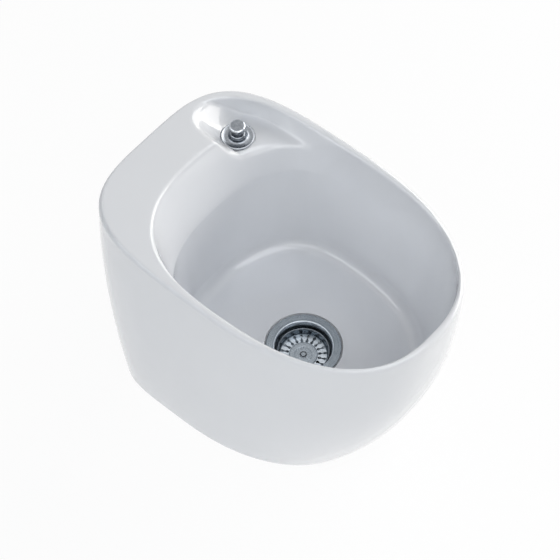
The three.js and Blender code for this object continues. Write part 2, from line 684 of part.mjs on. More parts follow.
const crankWire = () => alongY(rod(wireRadius, nippleY + nippleRadius + gap, sheathSeat + wireStraight, 10))
  .translate(crankX, 0, wireZ);
const wireNipple = () => alongX(rod(nippleRadius, crankFace - 0.5, crankBack + 0.5, 16))
  .translate(0, nippleY, wireZ);
const cableAdjuster = () => alongY(turned([
  [sheathBore + gap, adjusterStart], [adjusterRadius, adjusterStart], [adjusterRadius, adjusterStop],
  [sheathRadius + slide, adjusterStop], [sheathRadius + slide, sheathSeat], [sheathBore + gap, sheathSeat],
], 18)).translate(crankX, 0, wireZ);
const adjusterNut = (from) => alongY(hexNut(13, adjusterRadius + gap, from, from + 4))
  .translate(crankX, 0, wireZ);

// ---------------------------------------------------------------- knob
// heights from the top of the shelf
const padTop = gap + 1.2;
const escutcheonFoot = padTop + gap;
const escutcheonSeat = escutcheonFoot + escutcheonHeight;
const collarFoot = escutcheonSeat + gap;
const collarTop = collarFoot + collarHeight;
const shankFoot = collarFoot - shankLength;
const knobFoot = collarTop + gap;
const spindleTop = knobHeight - 6;
const spindleFoot = spindleTop - spindleLength;
const washerTop = -deckThickness - gap;
const nutTop = washerTop - knobWasherThickness - gap;
const socketFoot = socketSeat - shelfZ;

const escutcheon = () => turned([
  [shankRadius + slide, escutcheonFoot], [escutcheonRadius, escutcheonFoot],
  [escutcheonRadius, escutcheonFoot + 2.2], [escutcheonRadius - 0.8, escutcheonFoot + 3.2],
  [escutcheonRadius - 2.2, escutcheonFoot + 3], [escutcheonRadius - 5, escutcheonFoot + 2],
  [collarRadius + 2.5, escutcheonFoot + 2.4], [collarRadius, escutcheonSeat],
  [shankRadius + slide, escutcheonSeat],
], 32);

const knobGuide = () => turned([
  [spindleRadius + slide, collarTop], [spindleRadius + slide, shankFoot], [shankRadius - 1, shankFoot],
  [shankRadius, shankFoot + 1], [shankRadius, collarFoot], [collarRadius, collarFoot],
  [collarRadius, collarTop - 2], [collarRadius - 1.6, collarTop],
], 24);

const knobCap = () => turned([
  [spindleRadius - 0.6 + slide, knobFoot], [9.2, knobFoot], [8.8, knobFoot + 2.6],
  [9.6, knobFoot + 5.2], [knobRadius - 0.6, knobFoot + 8], [knobRadius, knobFoot + 10.4],
  [knobRadius, knobHeight - 3], [knobRadius - 1, knobHeight - 1.1], [knobRadius - 2.8, knobHeight - 0.3],
  [0, knobHeight], [0, spindleTop + gap], [spindleRadius - 0.6 + slide, spindleTop + gap],
], 28);

function knobSpindle() {
  const body = turned([
    [0, spindleFoot], [spindleRadius, spindleFoot], [spindleRadius, knobFoot - gap],
    [spindleRadius - 0.6, knobFoot - gap], [spindleRadius - 0.6, spindleTop], [0, spindleTop],
  ], 20);
  return carved(body, [], [rod(wireRadius + gap, spindleFoot - 1, spindleFoot + 8, 12)]);
}

const knobWire = () => rod(wireRadius, knobWireFoot - shelfZ, spindleFoot + 7.7, 10);

const sheathSocket = () => turned([
  [13, shankFoot + 10], [shankRadius + gap, shankFoot + 10], [shankRadius + gap, shankFoot - gap],
  [sheathBore + gap, shankFoot - gap], [sheathBore + gap, socketFoot], [sheathRadius + slide, socketFoot],
  [sheathRadius + slide, socketFoot - 10], [5.5, socketFoot - 10], [7, socketFoot - 3], [13, socketFoot + 2],
], 20);

// ---------------------------------------------------------------- assembly
const sink = new THREE.Group();
const drain = new THREE.Group();
const lever = new THREE.Group();
const knob = new THREE.Group();
drain.position.set(0, drainY, 0);
lever.position.set(0, shaftY, shaftHeight);
lever.rotation.x = restTurn;
knob.position.set(knobX, knobY, shelfZ);
sink.add(drain, knob);
drain.add(lever);

function put(group, name, geometry, material) {
  const mesh = new THREE.Mesh(geometry, material);
  mesh.name = name;
  group.add(mesh);
}

put(sink, "sink_body", sinkBody(), ceramic());

put(drain, "flange_gasket", tube(drainHoleRadius + 1, flangeRadius - 2, seatZ + gap, flangeGasketTop), rubber());
put(drain, "drain_cup", drainCup(), steel());
put(drain, "cup_gasket", cupGasket(), rubber());
screwAngles.forEach((a, k) => put(drain, "cup_screw_" + (k + 1), onScrewCircle(cupScrew(), a), steel()));
put(drain, "under_gasket",
  tube(drainHoleRadius + 1, bodyFlangeRadius - 1, bodyTop + gap, bodyTop + gap + gasketThickness), rubber());
put(drain, "waste_body", wasteBody(), plastic());
put(drain, "tail_gasket",
  tube(tailRadius + gap, spigotRadius - gap, tailGasketFoot, tailGasketFoot + gasketThickness), rubber());
put(drain, "outlet_nut", outletNut(), plastic());
put(drain, "tail_pipe", tube(tailRadius - tailWall, tailRadius, tailEnd, tailTop), plastic());

put(drain, "strainer_basket", strainerBasket(), steel());
put(drain, "basket_cap", basketCap(), steel());
put(drain, "strainer_plug", strainerPlug(), blackPlastic());
put(drain, "plug_seal",
  tube(plugHub + gap, plugRadius + 0.7, plugSealFoot, plugSealFoot + plugSealThickness), rubber());
put(drain, "lift_pin", liftPin(), steel());

put(lever, "lift_lever", liftLever(), blackPlastic());
put(lever, "lever_shaft", leverShaft(), steel());
put(lever, "crank_arm", crankArm(), steel());
put(lever, "crank_screw", crankScrew(), steel());
const onShaft = (geometry) => alongX(geometry).translate(0, shaftY, shaftHeight);
put(drain, "shaft_seal",
  onShaft(tube(shaftRadius + gap, sealRadius, bossEnd - sealPocket + gap, bossEnd - 0.5, 20)), rubber());
put(drain, "shaft_gland", onShaft(tube(shaftRadius + gap, glandBoss, bossEnd + gap, bossEnd + 3, 20)), brass());

put(drain, "wire_nipple", wireNipple(), brass());
put(drain, "crank_wire", crankWire(), steel());
put(drain, "cable_adjuster", cableAdjuster(), brass());
put(drain, "adjuster_nut_1", adjusterNut(bracketY - gap - 4), brass());
put(drain, "adjuster_nut_2", adjusterNut(bracketY + bracketThickness + gap), brass());
put(sink, "cable_sheath", cableSheath(), blackPlastic());
put(sink, "cable_core", cableCore(), steel());

put(knob, "knob_gasket", tube(knobHoleRadius + 1, escutcheonRadius - 1, gap, padTop), rubber());
put(knob, "escutcheon", escutcheon(), chrome());
put(knob, "knob_guide", knobGuide(), chrome());
put(knob, "knob_cap", knobCap(), chrome());
put(knob, "knob_spindle", knobSpindle(), steel());
put(knob, "knob_wire", knobWire(), steel());
put(knob, "deck_washer", tube(shankRadius + gap, knobWasherRadius, washerTop - knobWasherThickness, washerTop), rubber());
put(knob, "knob_nut", hexNut(knobNutAcross, shankRadius + gap, nutTop - knobNutHeight, nutTop), brass());
put(knob, "sheath_socket", sheathSocket(), brass());

export default sink;
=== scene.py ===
import json
import math

import bpy
import numpy as np
from mathutils import Matrix, Vector


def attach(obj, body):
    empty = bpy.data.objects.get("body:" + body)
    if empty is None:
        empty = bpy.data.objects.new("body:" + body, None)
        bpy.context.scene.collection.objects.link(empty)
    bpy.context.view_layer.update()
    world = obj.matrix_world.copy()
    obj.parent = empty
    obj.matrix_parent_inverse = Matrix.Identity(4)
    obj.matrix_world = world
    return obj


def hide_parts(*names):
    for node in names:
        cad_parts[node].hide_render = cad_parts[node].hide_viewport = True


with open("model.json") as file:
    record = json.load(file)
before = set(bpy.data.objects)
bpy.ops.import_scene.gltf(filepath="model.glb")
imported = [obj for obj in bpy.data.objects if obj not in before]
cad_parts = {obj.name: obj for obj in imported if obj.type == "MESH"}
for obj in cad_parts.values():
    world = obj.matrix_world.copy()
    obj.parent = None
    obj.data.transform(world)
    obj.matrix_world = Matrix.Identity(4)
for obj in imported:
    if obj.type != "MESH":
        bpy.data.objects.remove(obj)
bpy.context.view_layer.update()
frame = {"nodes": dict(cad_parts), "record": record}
mm = 0.001
tau = 2 * math.pi
print("frame loaded")

cameraView = {
    "azimuth": -51.91, "elevation": 57.0, "roll": 1.76,  # degrees
    "distance": 3.09, "target": (0.0, -0.0575, 0.2238),  # metres
    "aim": (39.3, 28.0), "focal": 2200.0, "picture": 560,  # pixels
}


def addCamera(view):
    azimuth, elevation, roll = (math.radians(view[k]) for k in ("azimuth", "elevation", "roll"))
    across = math.cos(elevation)
    back = Vector((math.sin(azimuth) * across, -math.cos(azimuth) * across, math.sin(elevation)))
    level = Vector((math.cos(azimuth), math.sin(azimuth), 0))
    rise = back.cross(level)
    side = level * math.cos(roll) + rise * math.sin(roll)
    rise = rise * math.cos(roll) - level * math.sin(roll)
    place = Vector(view["target"]) + back * view["distance"]
    # the target is seen right of and below the middle, so the camera turns left and up by that much
    forward = (-back * view["focal"] - side * view["aim"][0] + rise * view["aim"][1]).normalized()
    rise = (rise - forward * rise.dot(forward)).normalized()
    side = forward.cross(rise)
    camera = bpy.data.objects.new("camera", bpy.data.cameras.new("camera"))
    camera.data.lens = camera.data.sensor_width * view["focal"] / view["picture"]
    camera.data.clip_end = 50
    turn = Matrix((side, rise, -forward)).transposed().to_4x4()
    camera.matrix_world = Matrix.Translation(place) @ turn
    bpy.context.scene.collection.objects.link(camera)
    bpy.context.scene.camera = camera


addCamera(cameraView)
print("camera placed")


# a node's output in a shader formula; formulas on it add the Math nodes that work them out
class Wire:
    def __init__(self, tree, socket):
        self.tree, self.socket = tree, socket

    def maths(self, operation, *values):
        return self.tree.add("Math", {"operation": operation}, dict(enumerate(values)))

    def __add__(self, other):
        return self.maths("ADD", self, other)

    def __radd__(self, other):
        return self.maths("ADD", other, self)

    def __sub__(self, other):
        return self.maths("SUBTRACT", self, other)

    def __rsub__(self, other):
        return self.maths("SUBTRACT", other, self)

    def __mul__(self, other):
        return self.maths("MULTIPLY", self, other)

    def __rmul__(self, other):
        return self.maths("MULTIPLY", other, self)

    def sine(self):
        return self.maths("SINE", self)

    def root(self):
        return self.maths("SQRT", self)

    def angle(self, other):
        return self.maths("ARCTAN2", self, other)

    # low to high becomes start to end, and values beyond stay at the ends
    def between(self, low, high, start=0.0, end=1.0):
        ends = {"From Min": low, "From Max": high, "To Min": start, "To Max": end}
        return self.tree.add("MapRange", {}, {"Value": self, **ends})


# a material or a world, and its nodes
class Shading:
    def __init__(self, holder):
        holder.use_nodes = True
        self.holder, self.nodes, self.links = holder, holder.node_tree.nodes, holder.node_tree.links

    def put(self, node, sockets):
        for key, value in sockets.items():
            if isinstance(value, Wire):
                self.links.new(value.socket, node.inputs[key])
            else:
                node.inputs[key].default_value = (*value, 1.0) if isinstance(value, tuple) else value

    def add(self, kind, settings, sockets, output=0):
        node = self.nodes.new("ShaderNode" + kind)
        for key, value in settings.items():
            setattr(node, key, value)
        self.put(node, sockets)
        return Wire(self, node.outputs[output])

    def place(self):  # position on the piece, in metres
        return self.add("TexCoord", {}, {}, "Object")

    def parts(self, vector):
        node = self.add("SeparateXYZ", {}, {"Vector": vector}).socket.node
        return [Wire(self, output) for output in node.outputs]

    def noise(self, scale, detail=2.0, roughness=0.5, place=None):
        values = {"Vector": place or self.place(), "Scale": scale, "Detail": detail, "Roughness": roughness}
        return self.add("TexNoise", {}, values, "Fac")

    def blend(self, amount, dark, light):
        return self.add("Mix", {"data_type": "RGBA"}, {"Factor": amount, 6: dark, 7: light}, 2)

    # a shade that changes in bands along a value: each edge is where it changes, in millimetres, and the step
    def bands(self, value, first, edges, soft=0.25):
        total = first
        for edge, step in edges:
            total = value.between((edge - soft) * mm, (edge + soft) * mm, 0.0, step) + total
        return total

    def bump(self, height, strength, distance):
        return self.add("Bump", {}, {"Height": height, "Strength": strength, "Distance": distance})

    # distance from a line, direction round it and way along it; centre is in millimetres
    def about(self, centre, axis):
        x, y, z = self.parts(self.place())
        across, over, along = {"z": (x, y, z), "x": (y, z, x), "y": (z, x, y)}[axis]
        across, over = across - centre[0] * mm, over - centre[1] * mm
        return (across * across + over * over).root(), over.angle(across), along

    # noise drawn out round a line, as a lathe or a polishing wheel leaves it
    def turnedLines(self, centre, axis, perMetre, length):
        away, around, along = self.about(centre, axis)
        place = {"X": away * perMetre, "Y": around * length, "Z": along * perMetre}
        return self.noise(1.0, 3.0, 0.6, self.add("CombineXYZ", {}, place))


# a material with the finish's own constants on its shader
def finish(name, constants):
    m = Shading(bpy.data.materials.new(name))
    m.shader = m.nodes["Principled BSDF"]
    m.put(m.shader, constants)
    return m


def paint(m, colour, roughness, normal, **more):
    m.put(m.shader, {"Base Color": colour, "Roughness": roughness, "Normal": normal, **more})
    return m.holder


# noise scales below count features per metre; the foot and the hollow have the same glaze thinly sprayed,
# so one material serves the whole body
glaze = {
    "white": (0.842, 0.857, 0.885), "shade": (0.822, 0.838, 0.868), "roughness": (0.05, 0.11),
    "broad": 5.5, "fine": 160.0, "swell": 26.0, "swellHeight": 0.0006, "coat": (0.55, 0.75),
}


def glazedCeramic():
    m = finish("glazedCeramic", {"IOR": 1.52, "Coat Roughness": 0.03})
    broad, fine, swell = m.noise(glaze["broad"], 3.0), m.noise(glaze["fine"]), m.noise(glaze["swell"], 1.5)
    return paint(m, m.blend(broad.between(0.3, 0.7), glaze["shade"], glaze["white"]),
                 (broad * 0.7 + fine * 0.3).between(0.3, 0.7, *glaze["roughness"]),
                 m.bump(swell + fine * 0.02, 0.25, glaze["swellHeight"]),
                 **{"Coat Weight": broad.between(0.2, 0.8, *glaze["coat"])})


steel = {
    "dark": (0.055, 0.078, 0.10), "light": (0.82, 0.88, 0.94), "roughness": (0.22, 0.36),
    "linesPerMetre": 1500.0, "lineLength": 1.6, "cloud": 90.0, "scuff": 700.0, "uneven": 0.06,
}
# painted light and shade of the turned steel, in bands on the way out from its middle
paintedSteelLight = {
    "plain": (0.32, ()),
    # the cup: a painted highlight on its lip, from 42 to 43.9 mm
    "cup": (0.38, ((42.0, 0.34), (43.9, -0.46))),
    # the basket: painted shade round the cap's edge and on its wall from 34.2 to 36.9 mm, and painted light
    # on its slotted plate and lip
    "basket": (0.37, ((20.4, -0.12), (21.4, 0.47), (34.2, -0.64), (36.9, 0.36))),
}


def brushedSteel(name, centre, axis="z", zones="plain"):
    m = finish(name, {"Metallic": 1.0})
    line = m.turnedLines(centre, axis, steel["linesPerMetre"], steel["lineLength"])
    cloud, scuff = m.noise(steel["cloud"], 3.0), m.noise(steel["scuff"])
    uneven = (line * 0.6 + cloud * 0.4).between(0.3, 0.7, -steel["uneven"], steel["uneven"])
    # painted light and shade in bands out from the middle, with a random unevenness
    shade = m.bands(m.about(centre, axis)[0], *paintedSteelLight[zones]) + uneven
    roughness = (line * 0.6 + scuff * 0.4).between(0.3, 0.7, *steel["roughness"])
    return paint(m, m.blend(shade, steel["dark"], steel["light"]), roughness, m.bump(line, 0.12, 0.0002))


# the ring's chrome is duller than that of the cap and the collar
chrome = {
    "dark": (0.03, 0.04, 0.055), "light": (0.86, 0.90, 0.95),
    "roughness": {"up": (0.06, 0.16), "out": (0.24, 0.36)},
    "linesPerMetre": 900.0, "lineLength": 2.0, "spot": 240.0, "uneven": 0.04,
}
# painted light and shade of the chrome, in bands up from the shelf or out from the knob's middle
paintedChromeLight = {
    # the cap: painted shade on its neck below 16.5 mm and a painted highlight on its rounded top edge
    "cap": ("up", (0.07, ((16.5, 0.17), (25.8, 0.42), (28.3, -0.38)))),
    # the collar: painted shade, darkest low down by the ring
    "collar": ("up", (0.06, ((8.0, 0.08), (12.0, 0.12)))),
    # the ring: painted shade on its inner lip by the collar and a painted highlight on its outer bead
    "ring": ("out", (0.06, ((13.6, 0.25), (21.6, 0.22), (22.9, -0.10)))),
}


def chromePlate(name, centre, zones):
    m = finish(name, {"Metallic": 1.0})
    line = m.turnedLines(centre, "z", chrome["linesPerMetre"], chrome["lineLength"])
    spot = m.noise(chrome["spot"])
    way, bands = paintedChromeLight[zones]
    away, around, along = m.about(centre, "z")
    uneven = spot.between(0.35, 0.65, -chrome["uneven"], chrome["uneven"])
    # painted light and shade in bands up the knob or out from its middle, with a random unevenness
    shade = m.bands(along - knobFoot * mm if way == "up" else away, *bands) + uneven
    roughness = (line * 0.5 + spot * 0.5).between(0.3, 0.7, *chrome["roughness"][way])
    return paint(m, m.blend(shade, chrome["dark"], chrome["light"]), roughness, m.bump(line, 0.05, 0.0001))


plastic = {
    "white": {"dark": (0.72, 0.72, 0.69), "light": (0.80, 0.80, 0.77), "roughness": (0.35, 0.49)},
    "black": {"dark": (0.02, 0.02, 0.023), "light": (0.035, 0.036, 0.04), "roughness": (0.33, 0.47)},
    "flow": 14.0, "grain": 1400.0,
}


def mouldedPlastic(name, kind):
    m = finish(name, {"IOR": 1.5})
    flow, grain = m.noise(plastic["flow"], 3.0), m.noise(plastic["grain"])
    return paint(m, m.blend(flow.between(0.3, 0.7), plastic[kind]["dark"], plastic[kind]["light"]),
                 (flow * 0.5 + grain * 0.5).between(0.3, 0.7, *plastic[kind]["roughness"]),
                 m.bump(grain, 0.15, 0.0002))


rubber = {
    "clean": (0.018, 0.018, 0.02), "dusty": (0.045, 0.045, 0.047), "roughness": (0.7, 0.88),
    "dust": 60.0, "grain": 1100.0,
}


def sealRubber(name):
    m = finish(name, {"IOR": 1.5})
    dust, grain = m.noise(rubber["dust"], 4.0), m.noise(rubber["grain"])
    return paint(m, m.blend(dust.between(0.35, 0.75), rubber["clean"], rubber["dusty"]),
                 grain.between(0.3, 0.7, *rubber["roughness"]), m.bump(grain, 0.3, 0.0003))


brass = {
    "stained": (0.58, 0.43, 0.20), "bright": (0.74, 0.60, 0.33), "roughness": (0.2, 0.38),
    "linesPerMetre": 1300.0, "lineLength": 1.4, "stain": 75.0,
}


def turnedBrass(name, centre, axis="z"):
    m = finish(name, {"Metallic": 1.0})
    line = m.turnedLines(centre, axis, brass["linesPerMetre"], brass["lineLength"])
    stain = m.noise(brass["stain"], 3.0)
    roughness = (line * 0.6 + stain * 0.4).between(0.3, 0.7, *brass["roughness"])
    return paint(m, m.blend(stain.between(0.35, 0.7), brass["stained"], brass["bright"]), roughness,
                 m.bump(line, 0.12, 0.0002))


sheath = {
    "new": (0.02, 0.02, 0.022), "scuffed": (0.07, 0.07, 0.075), "roughness": (0.38, 0.55),
    "ribs": 2600.0, "scuff": 300.0,
}


def sheathCover(name):
    m = finish(name, {"IOR": 1.5})
    x, y, z = m.parts(m.place())
    ribs, scuff = ((x + y * 0.6 + z) * sheath["ribs"]).sine(), m.noise(sheath["scuff"], 3.0)
    return paint(m, m.blend(scuff.between(0.4, 0.8), sheath["new"], sheath["scuffed"]),
                 scuff.between(0.3, 0.7, *sheath["roughness"]), m.bump(ribs, 0.1, 0.0002))


strand = {
    "groove": (0.30, 0.31, 0.33), "crest": (0.60, 0.61, 0.63), "roughness": (0.45, 0.28), "lay": 5200.0,
}


def strandedWire(name):
    m = finish(name, {"Metallic": 1.0})
    x, y, z = m.parts(m.place())
    lay = ((x + y + z) * strand["lay"]).sine()
    return paint(m, m.blend(lay.between(-1.0, 1.0), strand["groove"], strand["crest"]),
                 lay.between(-1.0, 1.0, *strand["roughness"]), m.bump(lay, 0.4, 0.0002))


# places in millimetres
drainCentre = (0.0, -30.5)  # x and y
knobCentre = (96.3, 174.6)  # x and y
knobFoot = 325.0  # height of the shelf under the knob
shaftCentre = (-54.5, 44.0)  # y and z of the lever's shaft
wireCentre = (14.6, 45.0)  # z and x of the crank's wire

finishes = {
    "glaze": glazedCeramic(),
    "drainSteel": brushedSteel("drainSteel", drainCentre),
    "cupSteel": brushedSteel("cupSteel", drainCentre, "z", "cup"),
    "basketSteel": brushedSteel("basketSteel", drainCentre, "z", "basket"),
    "shaftSteel": brushedSteel("shaftSteel", shaftCentre, "x"),
    "knobSteel": brushedSteel("knobSteel", knobCentre),
    "capChrome": chromePlate("capChrome", knobCentre, "cap"),
    "collarChrome": chromePlate("collarChrome", knobCentre, "collar"),
    "ringChrome": chromePlate("ringChrome", knobCentre, "ring"),
    "whitePlastic": mouldedPlastic("whitePlastic", "white"),
    "blackPlastic": mouldedPlastic("blackPlastic", "black"),
    "blackRubber": sealRubber("blackRubber"),
    "knobBrass": turnedBrass("knobBrass", knobCentre),
    "shaftBrass": turnedBrass("shaftBrass", shaftCentre, "x"),
    "wireBrass": turnedBrass("wireBrass", wireCentre, "y"),
    "sheath": sheathCover("sheath"),
    "wire": strandedWire("wire"),
}
print("finishes made")


def mix(a, b, t):
    return a + (b - a) * t


# a grid of points [row, column, xyz] in millimetres, its columns closed round, as faces between rows;
# loop joins the last row to the first, and holes drops the faces that it marks
def gridPiece(name, points, finish, body, nodes=(), loop=False, holes=None, turn=40.0):
    rows, columns = points.shape[:2]
    row, column = np.meshgrid(np.arange(rows if loop else rows - 1), np.arange(columns), indexing="ij")
    nextRow, nextColumn = (row + 1) % rows, (column + 1) % columns
    corners = [row * columns + column, row * columns + nextColumn,
               nextRow * columns + nextColumn, nextRow * columns + column]
    faces = np.stack(corners, -1)
    faces = (faces if holes is None else faces[~holes]).reshape(-1, 4)
    return meshPiece(name, points.reshape(-1, 3), faces, finish, body, nodes, turn)


def meshPiece(name, points, faces, finish, body, nodes=(), turn=40.0):
    mesh = bpy.data.meshes.new(name)
    used, index = np.unique(faces, return_inverse=True)
    place = points[used] * mm
    faces = index.reshape(faces.shape)
    a, b, c, d = (place[faces[:, i]] for i in range(4))
    volume = (np.cross(b - a, c - a) * a).sum() + (np.cross(c - a, d - a) * a).sum()
    if volume < 0:
        faces = faces[:, ::-1]
    mesh.vertices.add(len(place))
    mesh.vertices.foreach_set("co", place.ravel())
    mesh.loops.add(faces.size)
    mesh.loops.foreach_set("vertex_index", faces.ravel().astype(np.int32))
    mesh.polygons.add(len(faces))
    mesh.polygons.foreach_set("loop_start", np.arange(0, faces.size, 4, dtype=np.int32))
    mesh.update(calc_edges=True)
    mesh.validate()
    return dress(name, mesh, finish, body, nodes, turn)


def dress(name, mesh, finish, body, nodes, turn=40.0):
    smooth(mesh, turn)
    mesh.materials.clear()
    mesh.materials.append(finishes[finish])
    piece = bpy.data.objects.new(name, mesh)
    bpy.context.scene.collection.objects.link(piece)
    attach(piece, body)
    if nodes:
        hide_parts(*nodes)
    return piece


# a profile of [radius, height] with every corner eased: each corner gives way to a curve that starts
# ease before it and ends ease after it, at most 0.4 of the way to the next corner
def eased(profile, ease, steps=4):
    p = np.array(profile, float)
    before, after = np.roll(p, 1, 0) - p, np.roll(p, -1, 0) - p

    def off(way):
        length = np.linalg.norm(way, axis=1, keepdims=True)
        return p + way / np.maximum(length, 1e-9) * np.minimum(ease, 0.4 * length)

    start, end = off(before), off(after)
    t = np.linspace(0, 1, steps + 1)[:, None, None]
    curve = (1 - t) ** 2 * start + 2 * t * (1 - t) * p + t ** 2 * end
    return curve.transpose(1, 0, 2).reshape(-1, 2)


onAxis = 1e-3  # radius of the tiny ring that closes a turned piece on its axis


# profile of [radius, height] swept round an upright axis: x = radius cos a, y = radius sin a
def turnedGrid(profile, centre, sides):
    a = np.arange(sides) * tau / sides
    r, z = profile[:, :1], profile[:, 1:]
    return np.stack([centre[0] + r * np.cos(a), centre[1] + r * np.sin(a), z + 0 * a], -1)


def turnedPiece(name, profile, ease, finish, body, nodes, centre, base=0.0, sides=96):
    p = np.array(profile, float) + (0, base)
    line = eased(p, ease)
    if p[0, 0] == 0:  # a profile that starts on the axis closes to a tiny ring at both ends
        line = line[line[:, 0] > onAxis]
        line = np.vstack([[onAxis, p[0, 1]], line, [onAxis, p[-1, 1]]])
    return gridPiece(name, turnedGrid(line, centre, sides), finish, body, nodes, loop=True)


def bevelEdges(piece, width, turn):
    bevel = piece.modifiers.new("bevel", "BEVEL")
    bevel.width, bevel.segments = width * mm, 2
    bevel.limit_method, bevel.angle_limit = "ANGLE", math.radians(turn)


# modifiers applied to the mesh
def settle(piece):
    baked = bpy.data.meshes.new_from_object(piece.evaluated_get(bpy.context.evaluated_depsgraph_get()))
    piece.modifiers.clear()
    piece.data = baked


# smooth shading that breaks where faces turn by more than an angle
def smooth(mesh, turn):
    mesh.polygons.foreach_set("use_smooth", np.ones(len(mesh.polygons), bool))
    mesh.set_sharp_from_angle(angle=math.radians(turn))


# a CAD node's own shape with its edges eased a little and its facets smoothed
def smoothedNode(node, finish, body, edge=0.0, turn=38.0):
    piece = dress(node + "Dressed", frame["nodes"][node].data.copy(), finish, body, [node], turn)
    weld = piece.modifiers.new("weld", "WELD")
    weld.merge_threshold = 0.01 * mm
    if edge:
        bevelEdges(piece, edge, turn)
    settle(piece)
    smooth(piece.data, turn)


# the ceramic body's sizes are in millimetres, and its back is on +Y
shell = {
    "rimHeight": 355.0, "rimHalfWidth": 173.0, "rimBack": 260.4, "rimFront": 260.0, "sideBulge": 5.3,
    "baseSideInset": 4.0, "baseBackInset": 54.0, "baseFrontInset": 89.0, "baseCentreShift": 61.0,
    "backPower": 1.46, "frontPower": 2.33,
    "rimSquareness": (3.7, 2.33), "baseSquareness": (5.0, 2.25), "wall": 12.0,
    "rimWidth": 12.0, "crownInset": 6.0, "rollDepth": 14.0, "rollSquareness": 2.9,
    "edgeRound": 5.0, "edgeReach": 4.5, "deckThickness": 14.0, "footRound": (3.0, 6.0),
}
bowl = {
    "floorHeight": 95.0, "floorRise": 7.0, "floorPower": 1.15,
    "halfWidth": 156.0, "back": 141.0, "floorFront": 205.0,
    "deckEdge": 180.0, "shoulderDepth": 72.0, "shoulderCurve": 1.25, "squareness": 2.4,
    "edgeSquareness": 2.5, "fillet": 22.0, "floorThickness": 17.0,
    "drainHole": 45.0, "seat": 57.5, "seatDepth": 3.0, "seatEdge": 0.3, "holeEdge": 0.4,
}
shelf = {
    "depth": 30.0, "centre": (127.0, 130.0), "reach": (75.0, 107.0), "slope": 28.0, "squareness": 4.4,
    "slopePower": 1.3, "slopeMost": 1.6,
    "wallTop": 12.6, "footSide": 149.0, "footBack": 238.0, "footSquareness": 7.0, "wallLeast": 4.0,
    "wallPower": 1.15, "wallMost": 1.5, "corner": 2.4,
    "deckEase": 3.5, "scoopEase": 8.0, "scoopFrom": (176.0, 212.0),
    "bowlBlur": 7.5, "blurFrom": 4.0, "blurDepth": 14.0, "blurReach": 26.0,
}
# columns stand closer together near the shelf, by a bell curve round its direction in degrees; lead is how
# far below the shoulder the rows of the top start, in millimetres
bodyGrid = {
    "columns": 430, "shelfColumns": 1.9, "shelfTurn": 48.0, "shelfSpread": 26.0,
    "lead": 14.0, "topRows": 96, "rollRows": 16, "wallRows": 30, "hollowRows": 34, "ease": 1.5,
}


# superellipse: distance from its centre in a direction, where (cos/width)^n + (sin/depth)^n = 1/distance^n
def reach(angle, halfWidth, back, front, backPower, frontPower):
    c, s = np.abs(np.cos(angle)), np.abs(np.sin(angle))
    behind = np.sin(angle) >= 0
    depth = np.where(behind, back, front)
    power = np.where(behind, backPower, frontPower)
    return ((c / halfWidth) ** power + (s / depth) ** power) ** (-1 / power)


# outer wall: a superellipse that narrows and moves back on the way down
def outerWall(angle, z, inset=0.0):
    drop = np.clip(1 - z / shell["rimHeight"], 0, 1)
    centre = shell["baseCentreShift"] * drop
    halfWidth = (shell["rimHalfWidth"] + 4 * shell["sideBulge"] * drop * (1 - drop)
                 - shell["baseSideInset"] * drop ** 2 - inset)
    back = shell["rimBack"] - shell["baseBackInset"] * drop ** shell["backPower"] - inset - centre
    front = shell["rimFront"] - shell["baseFrontInset"] * drop ** shell["frontPower"] - inset + centre
    powers = [mix(a, b, drop) for a, b in zip(shell["rimSquareness"], shell["baseSquareness"])]
    r = reach(angle, halfWidth, back, front, *powers)
    return np.stack(np.broadcast_arrays(r * np.cos(angle), centre + r * np.sin(angle), z), -1)


wallFoot = bowl["floorHeight"] + bowl["floorRise"]
edgeZ = shell["rimHeight"] - shell["edgeRound"]
shoulderFoot = edgeZ - bowl["shoulderDepth"]
seatZ = bowl["floorHeight"] - bowl["seatDepth"]
underZ = seatZ - bowl["floorThickness"]
shelfZ = shell["rimHeight"] - shelf["depth"]
shelfUnderZ = shelfZ - shell["deckThickness"]


# bowl wall of height z, grown by outset and put at another height if given; shoulder 0 to 1 widens its back
# to the deck's edge
def bowlWall(angle, z, outset=0.0, shoulder=0.0, height=None):
    drop = (edgeZ - z) / (edgeZ - wallFoot)
    halfWidth = mix(shell["rimHalfWidth"] - shell["rimWidth"], bowl["halfWidth"], drop) + outset
    back = mix(bowl["back"], bowl["deckEdge"], shoulder) + outset
    front = mix(shell["rimFront"] - shell["rimWidth"], bowl["floorFront"], drop ** 2) + outset
    power = mix(bowl["edgeSquareness"], bowl["squareness"], drop)
    r = reach(angle, halfWidth, back, front, power, power)
    z = z if height is None else height
    return np.stack(np.broadcast_arrays(r * np.cos(angle), r * np.sin(angle), z), -1)


def drainRing(angle, radius, z):
    x, y = radius * np.cos(angle), drainCentre[1] + radius * np.sin(angle)
    return np.stack(np.broadcast_arrays(x, y, z), -1)


# smaller or larger of two heights, with the crease between them rounded over a width k
def softLeast(a, b, k):
    h = np.clip(k - np.abs(a - b), 0, None) / k
    return np.minimum(a, b) - h * h * k / 4


def softMost(a, b, k):
    return -softLeast(-a, -b, k)


# how far a point has come into the scoop behind the knob, eased from 0 to 1
def scoopShare(y):
    start, end = shelf["scoopFrom"]
    t = np.clip((y - start) / (end - start), 0, 1)
    return t * t * (3 - 2 * t)


